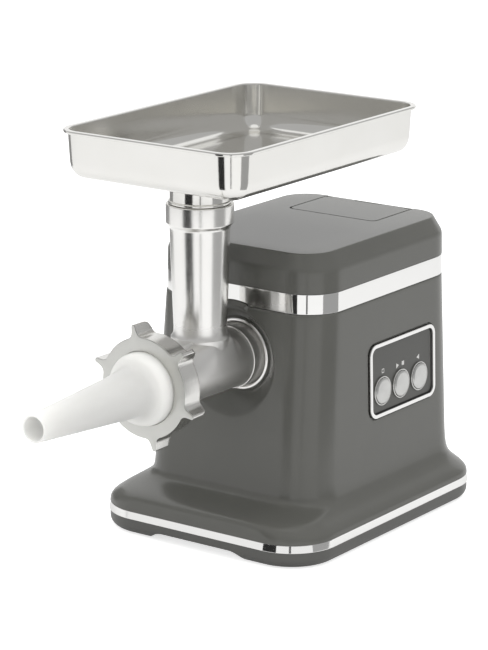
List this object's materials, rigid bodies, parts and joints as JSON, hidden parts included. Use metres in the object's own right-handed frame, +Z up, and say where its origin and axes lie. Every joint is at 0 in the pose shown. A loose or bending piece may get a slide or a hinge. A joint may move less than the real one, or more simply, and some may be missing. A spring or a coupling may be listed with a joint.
{
  "type": "electric meat grinder",
  "caption": "Countertop electric meat grinder with a grey housing, cast metal grinding head, steel food tray, ring nut and white sausage stuffing tube; push buttons on one side.",
  "frame": {"origin": "on the table under the centre of the overall box, so the grinder stands on z = 0", "axes": "the barrel and stuffing tube point along -Y, the control panel faces +X, +Z is up"},
  "size_m": [0.2234, 0.4876, 0.3598],
  "materials": {
    "housing_grey": "fine-textured moulded ABS, dark warm grey",
    "base_grey": "fine-textured moulded ABS, dark warm grey",
    "well_grey": "plain moulded ABS",
    "bright_trim": "bright chrome-plated trim",
    "panel_grey": "satin moulded plastic, a little darker than the housing",
    "button_ring": "bright ring",
    "button_face": "circular-brushed metal face",
    "rubber": "moulded rubber",
    "screw_steel": "zinc-plated steel",
    "board_green": "glass-epoxy board with solder mask",
    "switch_black": "black moulded nylon",
    "polished_alloy": "polished cast aluminium",
    "socket_chrome": "bright turned ring",
    "satin_alloy": "satin cast aluminium, edges turned bright",
    "auger_alloy": "cast aluminium",
    "blade_steel": "ground hardened steel",
    "tray_steel": "polished stainless sheet",
    "white_plastic": "white food-grade plastic, soft gloss",
    "case_alloy": "die-cast aluminium",
    "gear_nylon": "natural nylon",
    "shaft_steel": "turned steel",
    "bronze": "oil-filled sintered bronze",
    "motor_steel": "drawn steel",
    "magnet": "ferrite magnet",
    "core_iron": "stacked steel laminations",
    "copper": "copper bars",
    "carbon": "pressed carbon",
    "motor_plastic": "black moulded nylon"
  },
  "bodies": {
    "housing": {"housing_shell": "housing_grey", "top_cover": "housing_grey", "base_pan": "base_grey", "storage_well": "well_grey", "upper_band": "bright_trim", "base_strip": "bright_trim", "panel_frame": "bright_trim", "panel_plate": "panel_grey", "button_bezels": "button_ring", "rubber_feet": "rubber", "base_screws": "screw_steel", "socket_screws": "screw_steel", "gearcase_screws": "screw_steel", "motor_screws": "screw_steel", "lid_pin": "screw_steel", "control_board": "board_green", "push_switches": "switch_black", "cord_gland": "switch_black", "socket_sleeve": "socket_chrome", "gearcase": "case_alloy", "gear_cover": "case_alloy", "output_bushes": "bronze", "middle_bushes": "bronze", "motor_can": "motor_steel", "motor_bearings": "motor_steel", "motor_magnets": "magnet", "brush_set": "carbon", "motor_end_cap": "motor_plastic", "motor_cradle": "motor_plastic"},
    "lid": {"storage_lid": "housing_grey"},
    "reverse_button": {"button_reverse": "button_face"},
    "power_button": {"button_power": "button_face"},
    "forward_button": {"button_forward": "button_face"},
    "rotor": {"rotor_shaft": "shaft_steel", "rotor_core": "core_iron", "commutator": "copper", "motor_fan": "motor_plastic"},
    "middle_drive": {"middle_shaft": "shaft_steel", "first_gear": "gear_nylon"},
    "output_drive": {"output_shaft": "shaft_steel", "output_gear": "gear_nylon"},
    "head": {"grinder_head": "polished_alloy", "auger_bush": "switch_black", "perforated_plate": "blade_steel"},
    "auger": {"auger": "auger_alloy", "knife": "blade_steel"},
    "tube": {"stuffing_tube": "white_plastic"},
    "nut": {"ring_nut": "satin_alloy"},
    "tray": {"tray": "tray_steel", "tray_neck": "tray_steel"}
  },
  "joints": [
    {"name": "lid_hinge", "type": "hinge", "parent": "housing", "child": "lid", "pos_m": [0, 0.2222, 0.2496], "axis": [-1, 0, 0], "range_deg": [0, 100]},
    {"name": "reverse_press", "type": "slide", "parent": "housing", "child": "reverse_button", "axis": [-0.9997, 0, -0.026], "range_m": [0, 0.0022], "stiffness_N_per_m": 600, "springref_m": -0.002},
    {"name": "power_press", "type": "slide", "parent": "housing", "child": "power_button", "axis": [-0.9997, 0, -0.026], "range_m": [0, 0.0022], "stiffness_N_per_m": 600, "springref_m": -0.002},
    {"name": "forward_press", "type": "slide", "parent": "housing", "child": "forward_button", "axis": [-0.9997, 0, -0.026], "range_m": [0, 0.0022], "stiffness_N_per_m": 600, "springref_m": -0.002},
    {"name": "rotor_spin", "type": "hinge", "parent": "housing", "child": "rotor", "pos_m": [0, 0.13, 0.077], "axis": [0, -1, 0], "continuous": true},
    {"name": "middle_spin", "type": "hinge", "parent": "housing", "child": "middle_drive", "pos_m": [0, 0.068, 0.113], "axis": [0, -1, 0], "continuous": true},
    {"name": "output_spin", "type": "hinge", "parent": "housing", "child": "output_drive", "pos_m": [0, 0.06, 0.158], "axis": [0, -1, 0], "continuous": true},
    {"name": "head_slide", "type": "slide", "parent": "housing", "child": "head", "axis": [0, -1, 0], "range_m": [0, 0.06]},
    {"name": "auger_spin", "type": "hinge", "parent": "head", "child": "auger", "pos_m": [0, -0.03, 0.158], "axis": [0, -1, 0], "continuous": true},
    {"name": "tray_lift", "type": "slide", "parent": "head", "child": "tray", "axis": [0, 0, 1], "range_m": [0, 0.05]},
    {"name": "tube_slide", "type": "slide", "parent": "head", "child": "tube", "axis": [0, -1, 0], "range_m": [0, 0.0076]},
    {"name": "nut_turn", "type": "hinge", "parent": "tube", "child": "nut", "pos_m": [0, -0.096, 0.158], "axis": [0, -1, 0], "range_deg": [0, 900]}
  ],
  "couplings": [
    {"joint": "middle_spin", "follows": "rotor_spin", "ratio": -0.2},
    {"joint": "output_spin", "follows": "rotor_spin", "ratio": 0.05},
    {"joint": "auger_spin", "follows": "rotor_spin", "ratio": 0.05},
    {"joint": "tube_slide", "follows": "nut_turn", "m_per_rad": 0.00047746}
  ]
}
